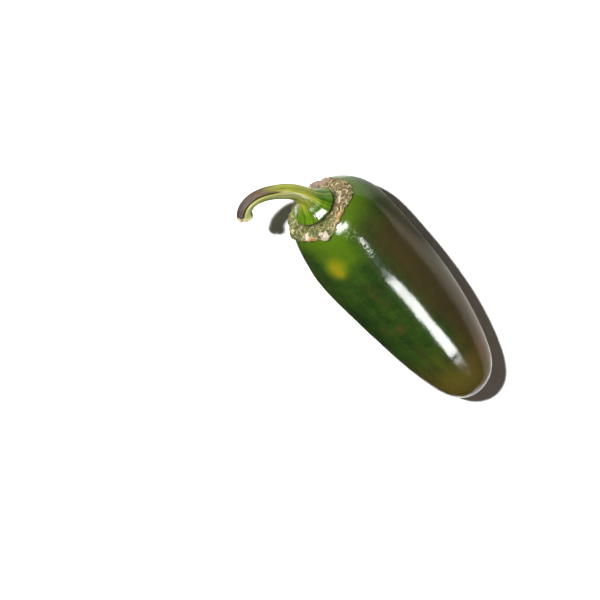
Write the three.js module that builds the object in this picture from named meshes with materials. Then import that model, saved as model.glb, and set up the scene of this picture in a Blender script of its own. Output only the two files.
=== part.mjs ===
// A large green chilli pepper, as picked, lying on its side: a smooth tapering pod, and the
// curved stem that swells into a bright cup and spreads over the shoulder as a corky calyx.
//
// Millimetres, +Z up. +X runs along the pod from the stem to the tip. The origin is on the
// surface that the pepper lies on, under the middle of its bounding box.

import * as THREE from 'three';
import { NURBSCurve } from 'three/addons/curves/NURBSCurve.js';

// Driving sizes of the pod
const podLength = 90;           // along the pod, from the shoulder's crest to the tip
const podRadius = 17.5;         // at the fullest place
const podRings = 46;            // along the pod
const podSides = 64;            // round the pod
const podSwells = [             // soft lobes round the pod: [count, share of the radius, turn]
  [3, 0.016, 0.6], [2, 0.010, 1.9],
];
const swellsFull = 0.25;        // share of the length over which the lobes grow in
const shoulder = { rise: 0.11, at: 0.05, length: 0.13, faces: -0.4 };
const dent = { depth: 0.018, at: 0.33, length: 0.075, faces: 1.5, width: 0.55 };
const restPoints = [            // the three low points that it lies on: [along, towards +Y]
  [23.2, -3.6], [58.7, -2.6], [40.7, 5.4],
];
const restRise = 0.12;          // how far the flat skin between them is off the surface
const restWidth = 3;            // how far round each one the skin is lower

// Driving sizes of the stem and calyx
const gap = 0.3;                // between the calyx and the skin under it
const ribs = { count: 5, rise: 0.04, turned: 0.4, from: 0.02, full: 0.2 };
const split = { depth: 0.34, faces: 1.25, width: 0.17, from: 0.42, full: 0.62 };
const plainRadius = 1;          // inside this radius the cut end has no ribs and no split
const collarShare = 0.232;      // of the pod's outline that the calyx covers, from its middle
const collarPoints = [          // the ragged edge: [count, share of the reach, turn]
  [6, 0.045, 0.6], [11, 0.02, 2], [2, 0.05, -0.4], [1, 0.06, -Math.PI / 2],
];
const collarFolds = { count: 13, rise: 0.2, twist: 6 };
const collarPart = 0.36;        // of the rows, from the pole under the calyx to the groove
const stemSides = 60;           // round the stem, cup and collar
const stemRows = 64;            // from the pole under the calyx to the cut end

// A smooth curve that starts and ends on its first and last point.
function smoothCurve(points) {
  const degree = 3;
  const spans = points.length - degree;
  const knots = [];
  for (let i = -degree; i <= spans + degree; i++) {
    knots.push(THREE.MathUtils.clamp(i / spans, 0, 1));
  }
  return new NURBSCurve(degree, knots, points.map(([x, y, z = 0]) => new THREE.Vector4(x, y, z, 1)));
}

// The sum of a list of waves at an angle: [how many round, height, turn].
const waves = (list, round) => list.reduce(
  (sum, [count, height, turned]) => sum + height * Math.cos(count * round + turned),
  0,
);

// A bump that is 1 at zero and fades over the width given.
const bump = (distance, width) => Math.exp(-((distance / width) ** 2));

// The shorter way round from one angle to another.
const turn = (a, b) => Math.atan2(Math.sin(a - b), Math.cos(a - b));

// Pod: its outline as [share of the length, share of the radius], from the middle of the
// dimple under the calyx, over the shoulder and along the side to the tip.
const podOutline = smoothCurve([
  [0.030, 0], [0.030, 0.18], [0.006, 0.32], [-0.008, 0.52], [0.022, 0.76], [0.095, 0.95],
  [0.23, 1.02], [0.41, 1.01], [0.60, 0.96], [0.76, 0.89], [0.89, 0.78], [0.985, 0.60],
  [1.0, 0.27], [1.0, 0],
]);

// The pod's middle line: the stem end leans up and to one side, and the tip nods down. It runs
// a little less than a radius above the surface, so that the skin there is a long narrow flat.
const podLine = smoothCurve([
  [0, -2.5, 22.1], [9, -1.2, 19.2], [22, 0, 16.9], [42, 0.6, 16.4], [60, 0.5, 15.35],
  [75, 0.1, 14.05], [90, -0.5, 12.75],
]);

const up = new THREE.Vector3(0, 0, 1);

// The pod's middle line carries a ring wherever it is asked: its centre and its three axes.
function ringFrame(share) {
  const inside = THREE.MathUtils.clamp(share, 0, 1);
  const along = podLine.getTangent(inside);
  const centre = podLine.getPoint(inside).addScaledVector(along, (share - inside) * podLength);
  const side = new THREE.Vector3().crossVectors(up, along).normalize();
  const top = new THREE.Vector3().crossVectors(along, side);
  return { centre, along, side, top };
}

// Soft lobes and shallow hollows, as a share of the radius. round is 0 at +Y and a quarter
// turn at the top.
function podRelief(share, round) {
  const swells = waves(podSwells, round) * Math.min(1, share / swellsFull);
  const fuller = shoulder.rise * bump(share - shoulder.at, shoulder.length)
    * Math.cos(turn(round, shoulder.faces));
  const hollow = dent.depth * bump(share - dent.at, dent.length)
    * bump(turn(round, dent.faces), dent.width);
  return swells + fuller - hollow;
}

// The lowest that the skin may be, over a place on the surface.
function restHeight({ x, y }) {
  const lower = restPoints.map(([along, sideways]) => bump(Math.hypot(x - along, y - sideways), restWidth));
  return restRise * (1 - Math.max(...lower));
}

function podPoint(t, round) {
  const outline = podOutline.getPoint(t);
  const { centre, side, top } = ringFrame(outline.x);
  const radius = outline.y * podRadius * (1 + podRelief(outline.x, round));
  const point = centre
    .addScaledVector(side, radius * Math.cos(round))
    .addScaledVector(top, radius * Math.sin(round));
  point.z = Math.max(point.z, restHeight(point));
  return point;
}

// The outward direction of the skin, by small steps that stay clear of the pole.
function podNormal(t, round) {
  const step = 0.001;
  const from = Math.max(t, 4 * step);
  const lengthways = podPoint(from + step, round).sub(podPoint(from - step, round));
  const crossways = podPoint(from, round + step).sub(podPoint(from, round - step));
  return crossways.cross(lengthways).normalize();
}

// Wraps a sphere's grid of points onto a closed form. place(row, round) gives each point, with
// row from 0 to 1 between the two poles.
function wrapped(rows, sides, place) {
  const positions = [];
  const faces = [];
  const ring = (row) => 1 + (row - 1) * sides;
  positions.push(...place(0, 0).toArray());
  for (let row = 1; row < rows; row++) {
    for (let i = 0; i < sides; i++) {
      positions.push(...place(row / rows, (i / sides) * 2 * Math.PI).toArray());
    }
  }
  positions.push(...place(1, 0).toArray());
  const last = positions.length / 3 - 1;
  for (let i = 0; i < sides; i++) {
    const next = (i + 1) % sides;
    faces.push(0, ring(1) + next, ring(1) + i);
    for (let row = 1; row < rows - 1; row++) {
      const [a, b] = [ring(row) + i, ring(row) + next];
      const [c, d] = [ring(row + 1) + i, ring(row + 1) + next];
      faces.push(a, d, c, a, b, d);
    }
    faces.push(ring(rows - 1) + i, ring(rows - 1) + next, last);
  }
  const geometry = new THREE.BufferGeometry();
  geometry.setAttribute('position', new THREE.Float32BufferAttribute(positions, 3));
  geometry.setIndex(faces);
  geometry.computeVertexNormals();
  return geometry;
}

// Stem: its middle line, from the crest of the shoulder out of the cup and round into a hook.
// Distances are out along the calyx, sideways towards -Y, and up across the calyx.
const crest = ringFrame(0);
const out = crest.along.clone().negate();
const stemLine = smoothCurve([
  [0, 0, 0], [4.5, -0.3, 0], [9, -0.8, 0], [14, 1.1, 0], [19, 4.6, 0.2], [22.9, 8.8, 0.4],
  [23.8, 13.1, 0.4], [22.3, 15.3, 0.2], [20.3, 16.0, 0],
].map(([outward, sideways, upward]) => crest.centre.clone()
  .addScaledVector(out, outward)
  .addScaledVector(crest.side, -sideways)
  .addScaledVector(crest.top, upward)
  .toArray()));

// Cup and stem: [share of the stem's travel, radius], from the groove under the cup's rim to
// the cut end, which flares and is hollowed a little.
const stemOutline = smoothCurve([
  [0.020, 5.6], [0.024, 6.2], [0.040, 6.7], [0.075, 6.6], [0.12, 5.5], [0.17, 4.0], [0.22, 3.1],
  [0.30, 2.6], [0.42, 2.4], [0.56, 2.25], [0.72, 2.1], [0.86, 2.05], [0.94, 2.25], [0.985, 2.6],
  [1.0, 2.55], [1.0, 2.0], [0.978, 1.3], [0.97, 0.6], [0.97, 0],
]);

// The stem's ribs, and the long split that opens towards the cut end, as a share of the radius.
function stemRelief(travel, round) {
  const ribbed = ribs.rise * THREE.MathUtils.smoothstep(travel, ribs.from, ribs.full);
  const open = split.depth * THREE.MathUtils.smoothstep(travel, split.from, split.full);
  return ribbed * Math.cos(ribs.count * round + ribs.turned)
    - open * bump(turn(round, split.faces), split.width);
}

// The two axes of a ring on the stem, turned from the shoulder's own by the least turn that
// brings them square to the stem.
function stemAxes(share) {
  const lean = new THREE.Quaternion().setFromUnitVectors(out, stemLine.getTangentAt(share));
  return [crest.side.clone().applyQuaternion(lean), crest.top.clone().applyQuaternion(lean)];
}

function stemPoint(travel, radius, round) {
  const [side, top] = stemAxes(travel);
  const reach = radius * (1 + (radius > plainRadius ? stemRelief(travel, round) : 0));
  return stemLine.getPointAt(travel)
    .addScaledVector(side, reach * Math.cos(round))
    .addScaledVector(top, reach * Math.sin(round));
}

// Calyx: how far its ragged edge reaches down the shoulder, all round.
const collarReach = (round) => collarShare * (1 + waves(collarPoints, round));

// The calyx's skin: the underside from its middle to the edge, over the edge, up to the groove
// and then the cup and stem. Each stop is [share of the reach, lift off the pod].
const collarOutline = smoothCurve([
  [0, gap], [0.3, gap], [0.6, gap], [0.9, gap], [0.99, gap], [1.03, 0.6], [0.99, 1.2], [0.92, 1.3],
  [0.84, 1.5], [0.76, 1.2], [0.66, 1.0], [0.60, 0.9],
]);

// The rows run from under the calyx out to the stem's end, so they go round the other way.
function calyxPoint(row, backwards) {
  const round = -backwards;
  if (row <= collarPart) {
    const { x: share, y: lift } = collarOutline.getPoint(row / collarPart);
    const t = share * collarReach(round);
    const folds = collarFolds.rise * Math.cos(collarFolds.count * round + collarFolds.twist * share);
    const height = lift > gap ? lift * (1 + folds) : lift;
    return podPoint(t, round).addScaledVector(podNormal(t, round), height);
  }
  const { x: travel, y: radius } = stemOutline.getPoint((row - collarPart) / (1 - collarPart));
  return stemPoint(travel, radius, round);
}

const podGeometry = wrapped(podRings, podSides, podPoint);
const podMaterial = new THREE.MeshStandardMaterial({ color: 0x1f4a10, roughness: 0.22, metalness: 0 });
const pod = new THREE.Mesh(podGeometry, podMaterial);
pod.name = 'pod';

const calyxGeometry = wrapped(stemRows, stemSides, calyxPoint);
const calyxMaterial = new THREE.MeshStandardMaterial({ color: 0x6f8f1f, roughness: 0.45, metalness: 0 });
const calyxStem = new THREE.Mesh(calyxGeometry, calyxMaterial);
calyxStem.name = 'calyx_stem';

const group = new THREE.Group();
group.add(pod, calyxStem);
const box = new THREE.Box3().setFromObject(group);
group.position.set(-(box.min.x + box.max.x) / 2, -(box.min.y + box.max.y) / 2, -box.min.z);

export default group;
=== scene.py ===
# A large green chilli pepper lying on its side: glossy pod, corky calyx, bright cup and hooked stem.

import math

import bmesh
import bpy
from mathutils import Matrix, Vector, noise


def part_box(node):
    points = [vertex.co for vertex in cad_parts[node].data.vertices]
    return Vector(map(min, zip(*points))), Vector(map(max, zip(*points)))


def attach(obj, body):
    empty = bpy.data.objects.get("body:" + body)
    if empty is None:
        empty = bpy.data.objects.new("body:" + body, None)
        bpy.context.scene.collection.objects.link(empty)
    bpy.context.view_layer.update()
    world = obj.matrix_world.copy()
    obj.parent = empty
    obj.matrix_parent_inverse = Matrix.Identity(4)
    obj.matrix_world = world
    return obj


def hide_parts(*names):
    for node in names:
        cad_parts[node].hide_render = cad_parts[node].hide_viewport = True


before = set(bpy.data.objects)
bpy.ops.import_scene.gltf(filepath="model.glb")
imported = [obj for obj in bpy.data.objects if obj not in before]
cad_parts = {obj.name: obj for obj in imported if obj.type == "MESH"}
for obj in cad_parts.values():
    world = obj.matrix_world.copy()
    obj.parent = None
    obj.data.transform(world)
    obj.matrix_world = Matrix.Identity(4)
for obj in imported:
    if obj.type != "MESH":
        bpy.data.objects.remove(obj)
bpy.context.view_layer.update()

metre = 0.001          # the shapes are drawn in millimetres
fullTurn = 2 * math.pi
upwards = Vector((0, 0, 1))


# Curves and waves, as in the part's own drawing

def clamp(value, low=0.0, high=1.0):
    return min(max(value, low), high)


def smoothCurve(points, degree=3):
    # starts and ends on its first and last point
    spans = len(points) - degree
    knots = [clamp(i / spans) for i in range(-degree, spans + degree + 1)]
    vectors = [Vector((*point, 0)[:3]) for point in points]

    def at(t):
        t = clamp(t)
        span = min(degree + int(t * spans), len(points) - 1)
        near = vectors[span - degree:span + 1]
        for level in range(1, degree + 1):
            for i in range(degree, level - 1, -1):
                low, high = knots[span - degree + i], knots[span + 1 + i - level]
                near[i] = near[i - 1].lerp(near[i], (t - low) / (high - low))
        return near[-1]
    return at


def slope(curve, t, step=1e-4):
    return (curve(t + step) - curve(t - step)).normalized()


def waves(parts, angle):
    return sum(height * math.cos(count * angle + turned) for count, height, turned in parts)


def bump(distance, width):
    return math.exp(-((distance / width) ** 2))


def angleBetween(a, b):
    return math.atan2(math.sin(a - b), math.cos(a - b))


def easeIn(value, low, high):
    t = clamp((value - low) / (high - low))
    return t * t * (3 - 2 * t)


def onCircle(radius, angle, height=0.0):
    return Vector((radius * math.cos(angle), radius * math.sin(angle), height))


def wander(point, size, seed=0.0):
    # smooth seeded noise from -1 to 1, with bumps about as far apart as size
    return noise.noise(point / size + Vector((seed, 2 * seed, -seed)))


# Meshes: a sphere's grid wrapped onto a form

def wrapSphere(rows, sides, place, remember):
    # place(row, angle) gives each point in metres; remember(row, angle) what the paint reads
    bm = bmesh.new()
    bmesh.ops.create_uvsphere(bm, u_segments=sides, v_segments=rows, radius=1)
    layers = {key: bm.verts.layers.float.new(key) for key in remember(0.5, 0)}
    for v in bm.verts:
        row = math.acos(clamp(v.co.z, -1, 1)) / math.pi
        angle = math.atan2(v.co.y, v.co.x)
        for key, value in remember(row, angle).items():
            v[layers[key]] = value
        v.co = place(row, angle)
    bmesh.ops.recalc_face_normals(bm, faces=bm.faces)
    return bm, layers


def addObject(name, data):
    made = bpy.data.objects.new(name, data)
    bpy.context.scene.collection.objects.link(made)
    return made


def addMesh(bm, name, materials):
    mesh = bpy.data.meshes.new(name)
    bm.to_mesh(mesh)
    bm.free()
    for material in materials:
        mesh.materials.append(material)
    return addObject(name, mesh)


def finishPiece(bm, name, node, materials):
    for f in bm.faces:
        f.smooth = True
    piece = addMesh(bm, name, materials)
    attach(piece, "root")
    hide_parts(node)
    print("made", name, len(piece.data.polygons), "faces")


# Shader expressions

class Wire:
    # one output socket of a material; arithmetic on it adds Math nodes
    def __init__(self, tree, socket=None):
        self.tree = tree
        self.socket = socket

    def node(self, kind, settings=None, inputs=None, output=0):
        made = self.tree.nodes.new("ShaderNode" + kind)
        for key, value in (settings or {}).items():
            if key == "stops":
                fillRamp(made.color_ramp, value)
            else:
                setattr(made, key, value)
        for key, value in (inputs or {}).items():
            socket = made.inputs[key]
            if isinstance(value, Wire):
                self.tree.links.new(value.socket, socket)
            elif socket.type == "RGBA":
                socket.default_value = (*value, 1)
            else:
                socket.default_value = value
        return Wire(self.tree, made.outputs[output])

    def maths(self, operation, *values):
        return self.node("Math", {"operation": operation}, dict(enumerate(values)))

    def __add__(self, other):
        return self.maths("ADD", self, other)

    def __sub__(self, other):
        return self.maths("SUBTRACT", self, other)

    def __rsub__(self, other):
        return self.maths("SUBTRACT", other, self)

    def __mul__(self, other):
        return self.maths("MULTIPLY", self, other)

    __radd__ = __add__
    __rmul__ = __mul__

    def most(self, other):
        return self.maths("MAXIMUM", self, other)

    def between(self, low, high):
        # 0 below low, 1 above high, eased
        ease = {"interpolation_type": "SMOOTHSTEP"}
        return self.node("MapRange", ease, {"Value": self, "From Min": low, "From Max": high})

    def frayed(self, cloud, reach, low, high):
        # an eased step whose edge is pushed about by a noise
        return (self + (cloud - 0.5) * reach).between(low, high)

    def ramp(self, stops):
        return self.node("ValToRGB", {"stops": stops}, {"Fac": self})

    def blend(self, under, over):
        # this value mixes two colours
        return self.node("Mix", {"data_type": "RGBA"}, {0: self, 6: under, 7: over}, 2)

    def here(self):
        # the place on the object, in metres
        return self.node("TexCoord", output="Object")

    def axis(self, name):
        return self.node("SeparateXYZ", {}, {0: self}, name)

    def vector(self, operation, other, output="Vector"):
        return self.node("VectorMath", {"operation": operation}, {0: self, 1: other}, output)

    def read(self, name):
        return self.node("Attribute", {"attribute_name": name}, {}, "Fac")

    def scaled(self, size, stretch=(1, 1, 1)):
        # a place in units of a size in millimetres, with patterns longer where the stretch is low
        scale = tuple(s / (size * metre) for s in stretch)
        return self.node("Mapping", {}, {"Vector": self, "Scale": scale})

    def speckle(self, size, detail=3.0, rough=0.55, stretch=(1, 1, 1)):
        inputs = {"Vector": self.scaled(size, stretch), "Scale": 1, "Detail": detail, "Roughness": rough}
        return self.node("TexNoise", {}, inputs)

    def cells(self, size, feature="DISTANCE_TO_EDGE", stretch=(1, 1, 1)):
        place = self.scaled(size, stretch)
        return self.node("TexVoronoi", {"feature": feature}, {"Vector": place, "Scale": 1}, "Distance")

    def warp(self, size, reach):
        # the place, pushed about by noise: size and reach are in millimetres
        inputs = {"Vector": self, "Scale": 1 / (size * metre), "Detail": 2.0}
        cloud = self.node("TexNoise", {}, inputs, "Color").vector("SUBTRACT", (0.5, 0.5, 0.5))
        return self.vector("ADD", cloud.vector("MULTIPLY", (2 * reach * metre,) * 3))

    def nearTo(self, centre, inner, outer):
        # 1 within inner of a place, 0 past outer: millimetres
        spot = tuple(c * metre for c in centre)
        gap = self.vector("DISTANCE", spot, "Value")
        return 1 - gap.between(inner * metre, outer * metre)

    def raised(self, depth):
        # a bump from this height, of a depth in millimetres
        return self.node("Bump", {}, {"Height": self, "Strength": 1.0, "Distance": depth * metre})


def fillRamp(ramp, stops):
    while len(ramp.elements) < len(stops):
        ramp.elements.new(0.5)
    for element, (position, colour) in zip(ramp.elements, stops):
        element.position = position
        element.color = (*colour, 1)


def newMaterial(name, fixed):
    # a material with its uniform values, and a wire to build its patterns from
    material = bpy.data.materials.new(name)
    material.use_nodes = True
    for key, value in fixed.items():
        material.node_tree.nodes["Principled BSDF"].inputs[key].default_value = value
    return material, Wire(material.node_tree)


def paint(material, colour, roughness=None, normal=None):
    # patterns onto the shader; what is left out keeps its uniform value
    tree = material.node_tree
    sockets = tree.nodes["Principled BSDF"].inputs
    for name, wire in {"Base Color": colour, "Roughness": roughness, "Normal": normal}.items():
        if wire:
            tree.links.new(wire.socket, sockets[name])
    return material


# Pod: the form

podForm = {
    "length": 90, "radius": 17.5,
    "outline": [   # [share of the length, share of the radius]
        (0.030, 0), (0.030, 0.18), (0.006, 0.32), (-0.008, 0.52), (0.022, 0.76), (0.095, 0.95),
        (0.23, 1.02), (0.41, 1.01), (0.60, 0.96), (0.76, 0.89), (0.89, 0.78), (0.985, 0.60),
        (1.0, 0.27), (1.0, 0),
    ],
    "line": [
        (0, -2.5, 22.1), (9, -1.2, 19.2), (22, 0, 16.9), (42, 0.6, 16.4), (60, 0.5, 15.35),
        (75, 0.1, 14.05), (90, -0.5, 12.75),
    ],
    "swells": [(3, 0.016, 0.6), (2, 0.010, 1.9)],
    "swellsFull": 0.25,
    "shoulder": {"rise": 0.11, "at": 0.05, "length": 0.13, "faces": -0.4},
    # a very low rise on the upper side, where the plain solid has a shallow dent
    "brow": {"rise": 0.006, "at": 0.33, "length": 0.075, "faces": 1.5, "width": 0.55},
    "restPoints": [(23.2, -3.6), (58.7, -2.6), (40.7, 5.4)], "restRise": 0.12, "restWidth": 3,
    "plainRings": 46, "plainSides": 64,     # the solid's own grid
    "rings": 240, "sides": 220,
}
podOutline = smoothCurve(podForm["outline"])
podLine = smoothCurve(podForm["line"])


def ringFrame(share):
    # a ring's centre and three axes: along, side and top
    inside = clamp(share)
    along = slope(podLine, inside)
    centre = podLine(inside) + along * (share - inside) * podForm["length"]
    side = upwards.cross(along).normalized()
    return centre, along, side, along.cross(side)


def podRelief(share, angle):
    shoulder, brow = podForm["shoulder"], podForm["brow"]
    swells = waves(podForm["swells"], angle) * min(1, share / podForm["swellsFull"])
    fuller = shoulder["rise"] * bump(share - shoulder["at"], shoulder["length"])
    fuller *= math.cos(angleBetween(angle, shoulder["faces"]))
    raised = brow["rise"] * bump(share - brow["at"], brow["length"])
    raised *= bump(angleBetween(angle, brow["faces"]), brow["width"])
    return swells + fuller + raised


def restHeight(x, y):
    # the lowest that the skin may be, over a place on the floor
    lower = [bump(math.hypot(x - px, y - py), podForm["restWidth"]) for px, py in podForm["restPoints"]]
    return podForm["restRise"] * (1 - max(lower))


ringsMade = {}


def podPoint(t, angle):
    if t not in ringsMade:
        share, size, _ = podOutline(t)
        ringsMade[t] = (share, size * podForm["radius"], *ringFrame(share))
    share, size, centre, _, side, top = ringsMade[t]
    radius = size * (1 + podRelief(share, angle))
    point = centre + (side * math.cos(angle) + top * math.sin(angle)) * radius
    point.z = max(point.z, restHeight(point.x, point.y))
    return point


def podNormal(t, angle, step=0.001):
    start = max(t, 4 * step)
    lengthways = podPoint(start + step, angle) - podPoint(start - step, angle)
    crossways = podPoint(start, angle + step) - podPoint(start, angle - step)
    return crossways.cross(lengthways).normalized()


def partShift():
    # from the drawing's own place to the frame's, found from the CAD pod's box
    rings, sides = podForm["plainRings"], podForm["plainSides"]
    plain = [podPoint(r / rings, s / sides * fullTurn) for r in range(1, rings) for s in range(sides)]
    plain += [podPoint(0, 0), podPoint(1, 0)]
    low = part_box("pod")[0]
    return Vector([low[i] / metre - min(p[i] for p in plain) for i in range(3)])


shift = partShift()
print("drawing moved by", [round(c, 3) for c in shift], "mm")


# Pod: the skin's small relief, which breaks up the shine

podSkin = {
    "swell": 0.10, "swellSize": 11,        # mm
    "ripple": 0.022, "rippleSize": 3.2,
    "fluteCount": 17, "flute": 0.012, "fluteSway": 3, "fluteSwaySize": 20,
    "quietTo": 0.12,       # share of the length over which the relief grows in
    "dimples": [   # [along, towards +Y, width, depth] of the small hollows seen on the upper side
        (20.8, -1.2, 2.0, 0.05), (41.0, -2.2, 1.4, 0.03),
        (55.5, 0.3, 1.1, 0.03),
    ],
}


def skinRelief(point, share, angle):
    sway = podSkin["fluteSway"] * wander(point, podSkin["fluteSwaySize"], seed=1.3)
    relief = podSkin["swell"] * wander(point, podSkin["swellSize"], seed=3.1)
    relief += podSkin["ripple"] * wander(point, podSkin["rippleSize"], seed=7.7)
    relief += podSkin["flute"] * math.cos(podSkin["fluteCount"] * angle + sway)
    if point.z > podForm["radius"]:
        for along, sideways, width, depth in podSkin["dimples"]:
            relief -= depth * bump(math.hypot(point.x - along, point.y - sideways), width)
    return relief * easeIn(share, 0, podSkin["quietTo"])


def makePod(material):
    def place(row, angle):
        point = podPoint(round(row, 6), angle)
        point = point + podNormal(row, angle) * skinRelief(point, podOutline(row).x, angle)
        point.z = max(point.z, restHeight(point.x, point.y))
        return (point + shift) * metre

    def remember(row, angle):
        return {"share": podOutline(row).x}

    bm, _ = wrapSphere(podForm["rings"], podForm["sides"], place, remember)
    finishPiece(bm, "podSkin", "pod", [material])


podPaint = {
    "deep": (0.008, 0.023, 0.004), "leaf": (0.022, 0.048, 0.005), "bright": (0.052, 0.100, 0.003),
    "blush": (0.040, 0.026, 0.010), "olive": (0.082, 0.060, 0.009), "red": (0.095, 0.036, 0.012),
    "yellow": (0.130, 0.140, 0.003), "amber": (0.20, 0.13, 0.005), "fleck": (0.16, 0.22, 0.07),
    # sizes of the patterns in mm
    "streakSize": 5, "cloudSize": 13, "mottleSize": 2.2, "rustSize": 7, "poreSize": 1.5, "scarSize": 1.3,
    "streakStretch": (0.16, 1, 1),
    # [size, reach] in mm of the noise that pushes about the edges of the colours
    "drift": (14, 4), "yellowDrift": (5, 1.5), "amberDrift": (2.2, 1.1), "scarDrift": (2, 0.8),
    # how strongly each colour covers what is under it
    "crownCover": 0.7, "rustCover": 0.45, "tipCover": 0.85, "redCover": 0.6, "yellowCover": 0.9,
    "amberCover": 0.45, "poreCover": 0.25, "scarCover": 0.55,
    # [place, full within, gone past] in mm from the frame's origin
    "brightSpot": ((-23.5, -4.4, 33), 2, 11), "yellowSpot": ((-18.0, -8.0, 31.0), 0.5, 5.6),
    "amberSpots": [((-18.8, -8.4, 30.9), 0.1, 2.6), ((-16.6, -8.0, 30.8), 0.1, 2.0)],
    "redSpots": [((13.1, -5.7, 30.9), 0.8, 3.4), ((41, 10, 24.8), 2, 8), ((36, 13.5, 23), 1, 7)],
    "scarSpot": ((-25, 2.6, 34), 0.8, 3.0),
    "pits": [((-19.7, 3.5, 0), 0.05, 0.6), ((-18.1, 3.9, 0), 0.05, 0.6)],     # on the crest, from above
    "bumps": 0.045,        # mm
    "gloss": 0.05, "glossVaries": 0.16, "scarRough": 0.3,     # roughness
    "fadeHeights": (0.014, 0.028),       # in metres, where the fine relief grows from the sides up
}


def podColour(where, share, streaks, clouds):
    moved = where.warp(*podPaint["drift"])
    along, across, height = moved.axis("X"), moved.axis("Y"), where.axis("Z")
    # greens: deep and leaf, streaked along the pod, brighter at the shoulder
    mottle = where.speckle(podPaint["mottleSize"], 3, 0.6)
    green = (streaks * 0.35 + clouds * 0.4 + mottle * 0.25).between(0.38, 0.64)
    colour = green.blend(podPaint["deep"], podPaint["leaf"])
    shoulder = moved.nearTo(*podPaint["brightSpot"]) * (0.45 + 0.55 * mottle)
    colour = shoulder.blend(colour, podPaint["bright"])
    crown = 1 - share.frayed(clouds, 0.08, 0.0, 0.08)
    colour = (crown * podPaint["crownCover"]).blend(colour, podPaint["bright"])
    # brown-purple blush on the +Y side, olive towards the tip
    side = across.frayed(streaks, 0.010, 0.002, 0.011) * (0.6 + 0.4 * clouds)
    side = side * along.frayed(streaks, 0.012, -0.032, -0.014)
    side = side * (0.25 + 0.75 * height.frayed(streaks, 0.012, 0.003, 0.013))
    colour = side.blend(colour, podPaint["blush"])
    rust = where.speckle(podPaint["rustSize"], 3, 0.6, (0.6, 1, 1)).between(0.5, 0.72)
    rust = rust * share.between(0.08, 0.2)
    colour = (rust * podPaint["rustCover"]).blend(colour, podPaint["blush"])
    tip = (share + (clouds - 0.5) * 0.22).frayed(streaks, 0.15, 0.72, 0.96)
    colour = (tip * podPaint["tipCover"]).blend(colour, podPaint["olive"])
    for spot in podPaint["redSpots"]:
        near = moved.nearTo(*spot) * streaks.between(0.32, 0.6)
        colour = (near * podPaint["redCover"]).blend(colour, podPaint["red"])
    yellow = where.warp(*podPaint["yellowDrift"]).nearTo(*podPaint["yellowSpot"])
    colour = (yellow * podPaint["yellowCover"]).blend(colour, podPaint["yellow"])
    rough = where.warp(*podPaint["amberDrift"])
    for spot in podPaint["amberSpots"]:
        colour = (rough.nearTo(*spot) * podPaint["amberCover"]).blend(colour, podPaint["amber"])
    return colour


def podMaterial():
    material, wire = newMaterial("podSkin", {"IOR": 1.42})
    where = wire.here()
    streaks = where.speckle(podPaint["streakSize"], 4, 0.6, podPaint["streakStretch"])
    clouds = where.speckle(podPaint["cloudSize"], 3, 0.5)
    colour = podColour(where, wire.read("share"), streaks, clouds)
    # pale pores, and fine scars beside the calyx
    pores = 1 - where.cells(podPaint["poreSize"], "F1").between(0.03, 0.10)
    pores = pores * where.speckle(6).between(0.5, 0.62)
    colour = (pores * podPaint["poreCover"]).blend(colour, podPaint["fleck"])
    scars = where.warp(*podPaint["scarDrift"]).cells(podPaint["scarSize"], stretch=(0.5, 1, 1))
    scars = (1 - scars.between(0.0, 0.07)) * where.nearTo(*podPaint["scarSpot"])
    scars = scars * where.speckle(1.1, 2).between(0.46, 0.56)
    colour = (scars * podPaint["scarCover"]).blend(colour, podPaint["fleck"])
    roughness = podPaint["gloss"] + podPaint["glossVaries"] * where.speckle(2.5, 4, 0.65)
    roughness = roughness + podPaint["scarRough"] * scars
    # fine relief, which fades down the sides
    skin = where.speckle(0.8, 3, 0.65) * 0.55 + where.speckle(2, 3) * 0.7
    upper = where.axis("Z").between(*podPaint["fadeHeights"])
    relief = (skin - pores * 0.4 + scars * 0.5) * (0.15 + 0.85 * upper)
    flat = where.vector("MULTIPLY", (1, 1, 0))
    for pit in podPaint["pits"]:
        relief = relief - flat.nearTo(*pit) * 2.2
    return paint(material, colour, roughness, relief.raised(podPaint["bumps"]))


# Calyx, cup and stem: one form, from the pole under the calyx to the cut end

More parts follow.
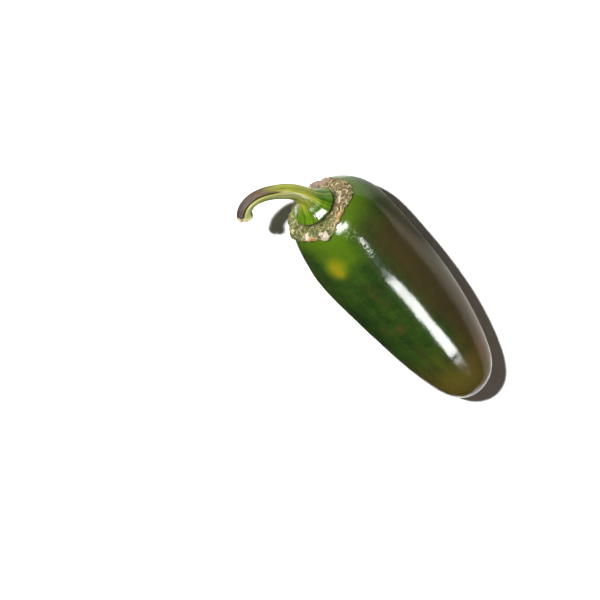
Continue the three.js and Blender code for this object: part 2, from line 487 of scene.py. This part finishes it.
stemForm = {
    "line": [   # [out along the calyx, sideways towards -Y, up]
        (0, 0, 0), (4.5, -0.3, 0), (9, -0.8, 0), (14, 1.1, 0), (19, 4.6, 0.2), (22.9, 8.8, 0.4),
        (23.8, 13.1, 0.4), (22.3, 15.3, 0.2), (20.3, 16.0, 0),
    ],
    "outline": [   # [share of the stem's travel, radius]
        (0.020, 5.6), (0.024, 6.2), (0.040, 6.7), (0.075, 6.6), (0.12, 5.5), (0.17, 4.0),
        (0.22, 3.1), (0.30, 2.6), (0.42, 2.4), (0.56, 2.25), (0.72, 2.1), (0.86, 2.05),
        (0.94, 2.25), (0.985, 2.6), (1.0, 2.55), (1.0, 2.0), (0.978, 1.3), (0.97, 0.6), (0.97, 0),
    ],
    "ribs": {"count": 5, "rise": 0.04, "turned": 0.4, "from": 0.02, "full": 0.2},
    "split": {"depth": 0.34, "faces": 1.25, "width": 0.17, "from": 0.42, "full": 0.62},
    "plainRadius": 1,       # inside this the cut end has no ribs and no split
    "endFrom": 0.96, "endRadius": 2.5,      # the cut face is past this travel and inside this
    "gap": 0.3, "collarPart": 0.36,
    "collarEdge": [   # [angle, reach]: 0 is at +Y and a quarter turn at the top
        (0.0, 0.216), (0.25, 0.238), (0.5, 0.233), (0.8, 0.224), (1.0, 0.208), (1.25, 0.214),
        (1.5, 0.222), (1.75, 0.240), (1.95, 0.256), (2.2, 0.234), (2.5, 0.230), (2.8, 0.234),
        (3.05, 0.238), (3.35, 0.262), (3.6, 0.250), (3.95, 0.240), (4.1, 0.215), (4.3, 0.205),
        (4.7, 0.212), (5.1, 0.200), (5.4, 0.188), (5.75, 0.192), (6.0, 0.204),
    ],
    "collarFolds": {"count": 13, "rise": 0.2, "twist": 6},
    "collarOutline": [   # [share of the reach, lift off the pod]
        (0, 0.3), (0.3, 0.3), (0.6, 0.3), (0.9, 0.3), (0.99, 0.3), (1.03, 0.6), (0.99, 1.2),
        (0.92, 1.3), (0.84, 1.5), (0.76, 1.2), (0.66, 1.0), (0.60, 0.9),
    ],
    "rows": 330, "sides": 256,
    # [share of the grid's rows, share of the form]: the collar and the cup's rim get the most
    "rowStops": [(0, 0), (0.06, 0.13), (0.36, 0.36), (0.56, 0.50), (0.9, 0.84), (1, 1)],
}
crest, crestAlong, crestSide, crestTop = ringFrame(0)
outward = -crestAlong
stemLine = smoothCurve([
    tuple(crest + outward * out - crestSide * sideways + crestTop * up)
    for out, sideways, up in stemForm["line"]
])
stemOutline = smoothCurve(stemForm["outline"])
collarOutline = smoothCurve(stemForm["collarOutline"])


def travelTable(curve, parts=200):
    points = [curve(i / parts) for i in range(parts + 1)]
    run = [0.0]
    for a, b in zip(points, points[1:]):
        run.append(run[-1] + (b - a).length)
    return [r / run[-1] for r in run]


stemTravel = travelTable(stemLine)


def atTravel(share):
    # the curve's own t at a share of its travelled length
    parts = len(stemTravel) - 1
    i = 0
    while i < parts - 1 and stemTravel[i + 1] < share:
        i += 1
    within = (share - stemTravel[i]) / (stemTravel[i + 1] - stemTravel[i])
    return clamp((i + within) / parts)


stemsMade = {}


def stemRing(travel):
    if travel not in stemsMade:
        t = atTravel(travel)
        lean = outward.rotation_difference(slope(stemLine, t))
        stemsMade[travel] = (stemLine(t), lean @ crestSide, lean @ crestTop)
    return stemsMade[travel]


def inSplit(travel, angle):
    # 1 along the middle of the long split, where it has opened
    split = stemForm["split"]
    opened = easeIn(travel, split["from"], split["full"])
    return opened * bump(angleBetween(angle, split["faces"]), split["width"])


def stemRelief(travel, angle):
    ribs = stemForm["ribs"]
    ribbed = ribs["rise"] * easeIn(travel, ribs["from"], ribs["full"])
    ribbed *= math.cos(ribs["count"] * angle + ribs["turned"])
    return ribbed - stemForm["split"]["depth"] * inSplit(travel, angle)


def collarReach(angle):
    stops = stemForm["collarEdge"]
    angle = angle % fullTurn
    for (a, low), (b, high) in zip(stops, stops[1:] + [(fullTurn, stops[0][1])]):
        if angle <= b:
            return low + (high - low) * easeIn(angle, a, b)
    return stops[0][1]


def rowAt(row):
    stops = stemForm["rowStops"]
    for (a, low), (b, high) in zip(stops, stops[1:]):
        if row <= b:
            return low + (row - a) / (b - a) * (high - low)
    return 1.0


calyxSkin = {
    "cork": 0.55, "corkSize": 2.1,         # mm
    "crumb": 0.22, "crumbSize": 0.8,
    # the edge's noise is read round a circle of a radius in units of its own
    "edgeCurl": 0.5, "curlSize": 1.6, "curlCircle": 9,
    "ragged": 0.035, "raggedSize": 1.5, "raggedCircle": 14,     # ragged is a share of the reach
    "cupTo": (0.09, 0.2),      # the travel over which the cup's relief fades
    "cupRibs": 9, "cupRib": 0.07, "cupRibsTurned": 1.1, "cupDents": 0.08, "dentSize": 2.4,
    "rimFull": 0.42, "rimFullAt": (0.070, 0.021),      # [travel, width]
    "rimDip": 0.24, "rimDipAt": (0.115, 0.024),
    "stemGrain": 0.05, "grainSize": 0.35, "grainAlong": 3, "grainAcross": 2.4,
}


def corkRelief(point, share, angle):
    # the collar's torn, knotted cork: highest just inside its edge
    spread = easeIn(share, 0.60, 0.72) * (1 - 0.5 * easeIn(share, 0.97, 1.03))
    knots = 1 - abs(2 * wander(point, calyxSkin["corkSize"], seed=5.2))
    crumbs = abs(wander(point, calyxSkin["crumbSize"], seed=9.4))
    tear = wander(onCircle(calyxSkin["curlCircle"], angle), calyxSkin["curlSize"], seed=4.4)
    relief = calyxSkin["cork"] * (knots - 0.55) - calyxSkin["crumb"] * crumbs
    return spread * (relief + calyxSkin["edgeCurl"] * tear * easeIn(share, 0.8, 1.0))


def collarPoint(share, lift, angle):
    edge = wander(onCircle(calyxSkin["raggedCircle"], angle, 3), calyxSkin["raggedSize"], seed=2.2)
    ragged = calyxSkin["ragged"] * edge * easeIn(share, 0.8, 1.0)
    t = share * collarReach(angle) * (1 + ragged)
    point = podPoint(t, angle)
    if lift > stemForm["gap"]:
        folds = stemForm["collarFolds"]
        lift *= 1 + folds["rise"] * math.cos(folds["count"] * angle + folds["twist"] * share)
        lift += corkRelief(point, share, angle) * easeIn(lift, 0.35, 0.8)
        lift = max(lift, stemForm["gap"])
    return point + podNormal(t, angle) * lift


def stemPoint(travel, radius, angle):
    centre, side, top = stemRing(travel)
    ring = side * math.cos(angle) + top * math.sin(angle)
    if radius <= stemForm["plainRadius"]:
        return centre + ring * radius
    reach = radius * (1 + stemRelief(travel, angle))
    # the cup's full rim with a dip under it, low ribs and dents, and the grain along the stem
    cup = 1 - easeIn(travel, *calyxSkin["cupTo"])
    fullAt, fullWidth = calyxSkin["rimFullAt"]
    dipAt, dipWidth = calyxSkin["rimDipAt"]
    reach += calyxSkin["rimFull"] * bump(travel - fullAt, fullWidth)
    reach -= calyxSkin["rimDip"] * bump(travel - dipAt, dipWidth)
    ribTurn = calyxSkin["cupRibs"] * angle + calyxSkin["cupRibsTurned"]
    reach += cup * calyxSkin["cupRib"] * math.cos(ribTurn)
    reach += cup * calyxSkin["cupDents"] * wander(centre + ring * reach, calyxSkin["dentSize"], seed=6.1)
    across, up, _ = onCircle(calyxSkin["grainAcross"], angle)
    grainAt = Vector((calyxSkin["grainAlong"] * travel, across, up))
    reach += calyxSkin["stemGrain"] * wander(grainAt, calyxSkin["grainSize"])
    return centre + ring * reach


def calyxPoint(row, backwards):
    # the rows run from under the calyx out to the stem's end, so they go round the other way
    part = stemForm["collarPart"]
    if row <= part:
        share, lift, _ = collarOutline(row / part)
        return collarPoint(share, lift, -backwards)
    travel, radius, _ = stemOutline((row - part) / (1 - part))
    return stemPoint(round(travel, 6), max(radius, 0), -backwards)


corkMarks = {   # [angle, share of the reach, width round, width across] of coloured places
    "pink": [(1.98, 0.91, 0.20, 0.10), (2.6, 0.90, 0.17, 0.10), (0.55, 0.74, 0.30, 0.06)],
    "orange": [(2.42, 0.98, 0.20, 0.05), (1.25, 0.97, 0.22, 0.04)],
    "strand": [(1.15, 0.93, 0.36, 0.025), (1.6, 0.96, 0.25, 0.02), (3.45, 0.86, 0.35, 0.03)],
    "flap": [(5.5, 0.92, 0.45, 0.16)],
}


def makeCalyx(materials):
    part = stemForm["collarPart"]

    def place(row, angle):
        return (calyxPoint(rowAt(row), angle) + shift) * metre

    def remember(row, angle):
        row = rowAt(row)
        collar = collarOutline(row / part).x
        travel, radius, _ = stemOutline((row - part) / (1 - part))
        marks = {
            name: sum(bump(angleBetween(-angle, at), wide) * bump(collar - share, deep)
                      for at, share, wide, deep in spots)
            for name, spots in corkMarks.items()
        }
        return {
            "collar": collar, "travel": travel, "split": inSplit(travel, -angle),
            "sideways": math.cos(angle), "upward": -math.sin(angle), "cutRadius": radius,
            "cork": 1.0 if row <= part else 0.0, **marks,
        }

    bm, layers = wrapSphere(stemForm["rows"], stemForm["sides"], place, remember)
    cork, stem, cutEnd = range(len(materials))
    for f in bm.faces:
        isCork = any(v[layers["cork"]] for v in f.verts)
        isEnd = min(v[layers["travel"]] for v in f.verts) > stemForm["endFrom"]
        isEnd = isEnd and max(v[layers["cutRadius"]] for v in f.verts) < stemForm["endRadius"]
        f.material_index = cork if isCork else (cutEnd if isEnd else stem)
    finishPiece(bm, "calyxStem", "calyx_stem", materials)


corkPaint = {
    "shade": (0.022, 0.018, 0.007), "brown": (0.098, 0.068, 0.026), "moss": (0.066, 0.082, 0.014),
    "tan": (0.215, 0.175, 0.075), "cream": (0.44, 0.39, 0.20), "pink": (0.50, 0.41, 0.33),
    "orange": (0.36, 0.16, 0.035), "strand": (0.42, 0.31, 0.13), "flap": (0.20, 0.135, 0.095),
    "netSize": 2.1, "threadSize": 0.9, "cloudSize": 2.6, "grainSize": 0.45, "flakeSize": 1.1,   # mm
    "netDrift": (1.9, 1.3), "threadDrift": (1.0, 0.6), "flakeDrift": (1.2, 0.8),     # [size, reach]
    "bumps": 0.22,         # mm
}


def corkMaterial():
    material, wire = newMaterial("calyxCork", {"IOR": 1.45, "Specular IOR Level": 0.3})
    where = wire.here()
    net = where.warp(*corkPaint["netDrift"]).cells(corkPaint["netSize"])
    fine = where.warp(*corkPaint["threadDrift"]).cells(corkPaint["threadSize"])
    clouds = where.speckle(corkPaint["cloudSize"], 4, 0.6)
    grain = where.speckle(corkPaint["grainSize"], 3, 0.65)
    flakes = where.warp(*corkPaint["flakeDrift"]).speckle(corkPaint["flakeSize"], 3, 0.6)
    # mossy green and brown ground under a torn net of pale threads
    brown = (wire.read("sideways") * 0.35 + clouds).between(0.42, 0.66)
    colour = brown.blend(corkPaint["moss"], corkPaint["brown"])
    colour = (flakes.between(0.54, 0.66) * 0.8).blend(colour, corkPaint["tan"])
    hollows = 1 - flakes.between(0.34, 0.46)
    ridges = (1 - net.between(0.015, 0.075)) * where.speckle(2.6, 2).between(0.42, 0.52)
    threads = (1 - fine.between(0.01, 0.07)) * where.speckle(1.6, 2).between(0.46, 0.58)
    # painted shade: the hollows between the flakes are darkened
    colour = (hollows * 0.85).blend(colour, corkPaint["shade"])
    colour = (threads * 0.5).blend(colour, corkPaint["tan"])
    colour = (ridges * 0.9).blend(colour, corkPaint["cream"])
    # the marked places: a grey-brown flap, pink and orange flesh, and long pale strands
    flap = (wire.read("flap") * (0.3 + 1.4 * flakes)).between(0.2, 0.5)
    colour = (flap * 0.85).blend(colour, corkPaint["flap"])
    torn = flakes * 2.6 - 0.4
    pink = (wire.read("pink") * torn).between(0.25, 0.7) * (0.4 + grain)
    colour = (pink * 0.9).blend(colour, corkPaint["pink"])
    orange = (wire.read("orange") * torn).between(0.3, 0.7)
    colour = (orange * 0.8).blend(colour, corkPaint["orange"])
    strand = (wire.read("strand") * (0.6 + 0.8 * clouds)).between(0.5, 0.85)
    colour = (strand * 0.85).blend(colour, corkPaint["strand"])
    # painted shade in the small pits, in the groove where the collar meets the cup, and under the collar
    pits = (1 - grain.between(0.32, 0.42)) * (1 - strand) * (1 - flap * 0.7)
    cupGrooveShade = 1 - wire.read("collar").between(0.602, 0.64)
    colour = (pits * 0.6).most(cupGrooveShade * 0.6).blend(colour, corkPaint["shade"])
    height = ridges * 0.8 + threads * 0.4 + grain * 0.4 - hollows * 0.9 + strand * 0.6
    return paint(material, colour, 0.6 + 0.25 * grain, height.raised(corkPaint["bumps"]))


stemPaint = {
    "cup": (0.070, 0.132, 0.003), "cupPale": (0.17, 0.21, 0.035), "cupDeep": (0.016, 0.052, 0.002),
    "stem": (0.115, 0.140, 0.010), "stemPale": (0.26, 0.26, 0.03), "stemDeep": (0.040, 0.052, 0.006),
    "dried": (0.105, 0.060, 0.030), "purple": (0.036, 0.021, 0.021), "lip": (0.40, 0.36, 0.12),
    "crack": (0.012, 0.009, 0.004), "cream": (0.52, 0.46, 0.24),
    "driedFaces": -0.1,       # the angle of the side that has dried
    "grainAcross": 0.0045, "grainAlong": 0.012,      # metres of pattern round and along the stem
    "fibreSize": 1.1, "fineSize": 0.55, "blotchSize": 2.4, "bumps": 0.15,      # mm
    "cupRough": 0.12, "stemRougher": 0.22, "dryRougher": 0.3, "roughVaries": 0.12,
}


def stemMaterial():
    material, wire = newMaterial("greenStem", {"IOR": 1.42})
    where = wire.here()
    travel = wire.read("travel")
    sideways, upward = wire.read("sideways"), wire.read("upward")
    # fibres run along the stem: the pattern follows its travel and its side, not the space
    lined = wire.node("CombineXYZ", {}, {
        "X": travel * stemPaint["grainAlong"],
        "Y": sideways * stemPaint["grainAcross"], "Z": upward * stemPaint["grainAcross"],
    })
    fibres = lined.speckle(stemPaint["fibreSize"], 4, 0.6, (0.25, 1, 1))
    fine = lined.speckle(stemPaint["fineSize"], 3, 0.65, (0.16, 1, 1))
    blotches = where.speckle(stemPaint["blotchSize"], 3, 0.55)
    cup = (fibres * 0.55 + fine * 0.25 + blotches * 0.2).between(0.38, 0.60)
    colour = cup.blend(stemPaint["cupDeep"], stemPaint["cup"])
    pale = (blotches * 0.5 + fibres * 0.5).between(0.54, 0.66) * travel.between(0.04, 0.12)
    colour = (pale * 0.5).blend(colour, stemPaint["cupPale"])
    green = (fibres * 0.6 + fine * 0.4).between(0.40, 0.62)
    green = green.blend(stemPaint["stem"], stemPaint["stemPale"])
    green = ((1 - fine.between(0.34, 0.46)) * 0.6).blend(green, stemPaint["stemDeep"])
    colour = travel.frayed(fibres, 0.15, 0.12, 0.26).blend(colour, green)
    # the outer side dries to brown and then grey-purple towards the cut end
    faces = stemPaint["driedFaces"]
    dried = sideways * math.cos(faces) + upward * math.sin(faces)
    dry = dried.frayed(fibres, 0.9, 0.05, 0.45) * travel.frayed(fibres, 0.35, 0.55, 0.72)
    colour = (dry * 0.9).blend(colour, stemPaint["dried"])
    old = dry * travel.frayed(fine, 0.3, 0.66, 0.86) * (0.35 + fine)
    colour = (old * 0.9).blend(colour, stemPaint["purple"])
    cracks = (1 - fine.between(0.40, 0.48)) * dry
    colour = (cracks * 0.85).blend(colour, stemPaint["crack"])
    # the split is dark between pale lips
    split = wire.read("split")
    lips = split.between(0.08, 0.3) * (1 - split.between(0.45, 0.7)) * (0.4 - dried).between(0, 0.6)
    colour = (lips * 0.8).blend(colour, stemPaint["lip"])
    colour = split.between(0.5, 0.8).blend(colour, stemPaint["crack"])
    rim = travel.frayed(fine, 0.04, 0.965, 0.985)
    colour = (rim * 0.85).blend(colour, stemPaint["cream"])
    roughness = stemPaint["cupRough"] + stemPaint["stemRougher"] * travel.between(0.12, 0.5)
    roughness = roughness + stemPaint["roughVaries"] * blotches + stemPaint["dryRougher"] * dry
    height = fibres * 0.7 + fine * 0.5 - cracks * 0.8 + where.speckle(0.5, 2) * 0.2
    return paint(material, colour, roughness, height.raised(stemPaint["bumps"]))


cutPaint = {
    "pith": (0.20, 0.16, 0.07), "rim": (0.52, 0.46, 0.26), "centre": (0.07, 0.05, 0.02),
    "grainSize": 0.35, "poreSize": 0.28, "bumps": 0.12,        # mm
}


def cutMaterial():
    material, wire = newMaterial("cutEnd", {"IOR": 1.45, "Specular IOR Level": 0.3})
    where = wire.here()
    radius = wire.read("cutRadius")
    grain = where.speckle(cutPaint["grainSize"], 3, 0.6)
    colour = radius.frayed(grain, 0.6, 0.4, 1.5).blend(cutPaint["centre"], cutPaint["pith"])
    colour = radius.frayed(grain, 0.5, 1.5, 2.2).blend(colour, cutPaint["rim"])
    pores = 1 - where.cells(cutPaint["poreSize"]).between(0.02, 0.16)
    colour = (pores * 0.4).blend(colour, cutPaint["centre"])
    normal = (grain - pores * 0.5).raised(cutPaint["bumps"])
    return paint(material, colour, 0.7 + 0.2 * grain, normal)


# Floor, lights and camera

room = {
    "floorSize": 3.0, "floorColour": (0.92, 0.92, 0.92), "floorPale": (0.94, 0.94, 0.94),
    "air": (1.0, 0.84, 0.66), "airStrength": 0.078, "aim": (0, 0, 0.03),
    "keyFrom": (-0.62, -0.15, 0.75), "keyAway": 1.6, "keySize": 0.06, "keyPower": 64,
    "windowsAway": 0.9,
    "windows": [   # [from, to, across, width, glow], in degrees towards the tip and towards +Y
        (-33, -18, -6, 30, 30), (9.5, 16.5, 7, 9, 30), (26.5, 30.5, 9, 12, 6), (33.8, 58.4, 7, 19, 30),
    ],
    "cardHeight": 0.0004, "cardFrom": -0.04, "cardLength": 0.10,
    "cards": [   # [corner, corner, greys along the shaded length] at the -Y and the +Y side
        ((-1, -1.2), (1, -0.0185), [(0.0, (0.012, 0.012, 0.010)), (1.0, (0.012, 0.012, 0.010))]),
        ((-1, 0.022), (1, 1.2), [
            (0.0, (0.55, 0.56, 0.50)), (0.3, (0.10, 0.10, 0.08)), (0.5, (0.08, 0.08, 0.07)),
            (0.7, (0.40, 0.38, 0.33)), (1.0, (0.50, 0.45, 0.38)),
        ]),
    ],
}


def addSheet(name, low, high, height, material):
    # a flat piece of the set, between two corners
    bm = bmesh.new()
    bmesh.ops.create_grid(bm, x_segments=1, y_segments=1, size=0.5)
    for v in bm.verts:
        across = [low[i] + (v.co[i] + 0.5) * (high[i] - low[i]) for i in (0, 1)]
        v.co = (*across, height)
    sheet = addMesh(bm, name, [material])
    return sheet


def addFloor():
    material, wire = newMaterial("paleFloor", {"Roughness": 0.9, "Specular IOR Level": 0.1})
    tone = wire.here().speckle(60, 2)
    paint(material, tone.blend(room["floorColour"], room["floorPale"]))
    half = room["floorSize"] / 2
    addSheet("floor", (-half, -half), (half, half), 0, material)


def addCards():
    # only the shine sees these, where the skin would mirror too much white floor
    for i, (low, high, greys) in enumerate(room["cards"]):
        name = f"card{i}"
        material, wire = newMaterial(name, {"Roughness": 0.9, "Specular IOR Level": 0})
        shade = (wire.here().axis("X") - room["cardFrom"]) * (1 / room["cardLength"])
        card = addSheet(name, low, high, room["cardHeight"], paint(material, shade.ramp(greys)))
        card.visible_camera = False
        card.visible_diffuse = False
        card.visible_shadow = False
        card.visible_transmission = False


def facing(spot, right, up, back):
    return Matrix.Translation(spot) @ Matrix((right, up, back)).transposed().to_4x4()


def addPanel(name, towards, away, width, length, power):
    # an area light that faces the pepper, its length running along the pod
    light = bpy.data.lights.new(name, "AREA")
    light.shape = "RECTANGLE"
    light.size = width
    light.size_y = length
    light.energy = power
    lamp = addObject(name, light)
    along = Vector((1, 0, 0))
    back = towards.normalized()
    up = (along - back * along.dot(back)).normalized()
    lamp.matrix_world = facing(Vector(room["aim"]) + back * away, up.cross(back), up, back)
    return lamp


def addLights():
    world = bpy.data.worlds.new("air")
    world.use_nodes = True
    air = world.node_tree.nodes["Background"].inputs
    air["Color"].default_value = (*room["air"], 1)
    air["Strength"].default_value = room["airStrength"]
    bpy.context.scene.world = world
    size = room["keySize"]
    addPanel("keyLight", Vector(room["keyFrom"]), room["keyAway"], size, size, room["keyPower"])
    # windows above, seen as the streak and spots of shine on the pod
    away = room["windowsAway"]
    for i, (low, high, across, wide, glow) in enumerate(room["windows"]):
        length = 2 * away * math.tan(math.radians((high - low) / 2))
        width = 2 * away * math.tan(math.radians(wide / 2))
        middle = math.radians((low + high) / 2)
        towards = Vector((math.sin(middle), math.tan(math.radians(across)), math.cos(middle)))
        window = addPanel(f"window{i}", towards, away, width, length, glow * math.pi * width * length)
        window.visible_diffuse = False


camera = {
    "elevation": 65, "roll": 138.4, "distance": 0.65, "pixelsPerMm": 3.19, "imageSize": 600,
    "anchorDrawn": (0, -1.6, 22.1), "anchorPixel": (320, 208), "sensor": 36, "nearest": 0.01,
}


def addCamera():
    # stands behind the stem end, looking down; rolled as in the photograph
    tilt, roll = math.radians(camera["elevation"]), math.radians(camera["roll"])
    back = Vector((-math.cos(tilt), 0, math.sin(tilt)))
    level = (-back).cross(upwards).normalized()
    rise = level.cross(-back)
    right = level * math.cos(roll) + rise * math.sin(roll)
    up = rise * math.cos(roll) - level * math.sin(roll)
    # placed so that the anchor falls on its pixel
    pixel = metre / camera["pixelsPerMm"]
    x, y = [place - camera["imageSize"] / 2 for place in camera["anchorPixel"]]
    anchor = (Vector(camera["anchorDrawn"]) + shift) * metre
    spot = anchor + back * camera["distance"] + (up * y - right * x) * pixel
    lens = bpy.data.cameras.new("photoCamera")
    lens.sensor_width = camera["sensor"]
    lens.lens = camera["sensor"] * camera["distance"] / (pixel * camera["imageSize"])
    lens.clip_start = camera["nearest"]
    eye = addObject("photoCamera", lens)
    eye.matrix_world = facing(spot, right, up, back)
    bpy.context.scene.camera = eye


bpy.context.scene.view_settings.view_transform = "Standard"
addCamera()
addFloor()
addCards()
addLights()
print("stage is set")
makePod(podMaterial())
makeCalyx([corkMaterial(), stemMaterial(), cutMaterial()])
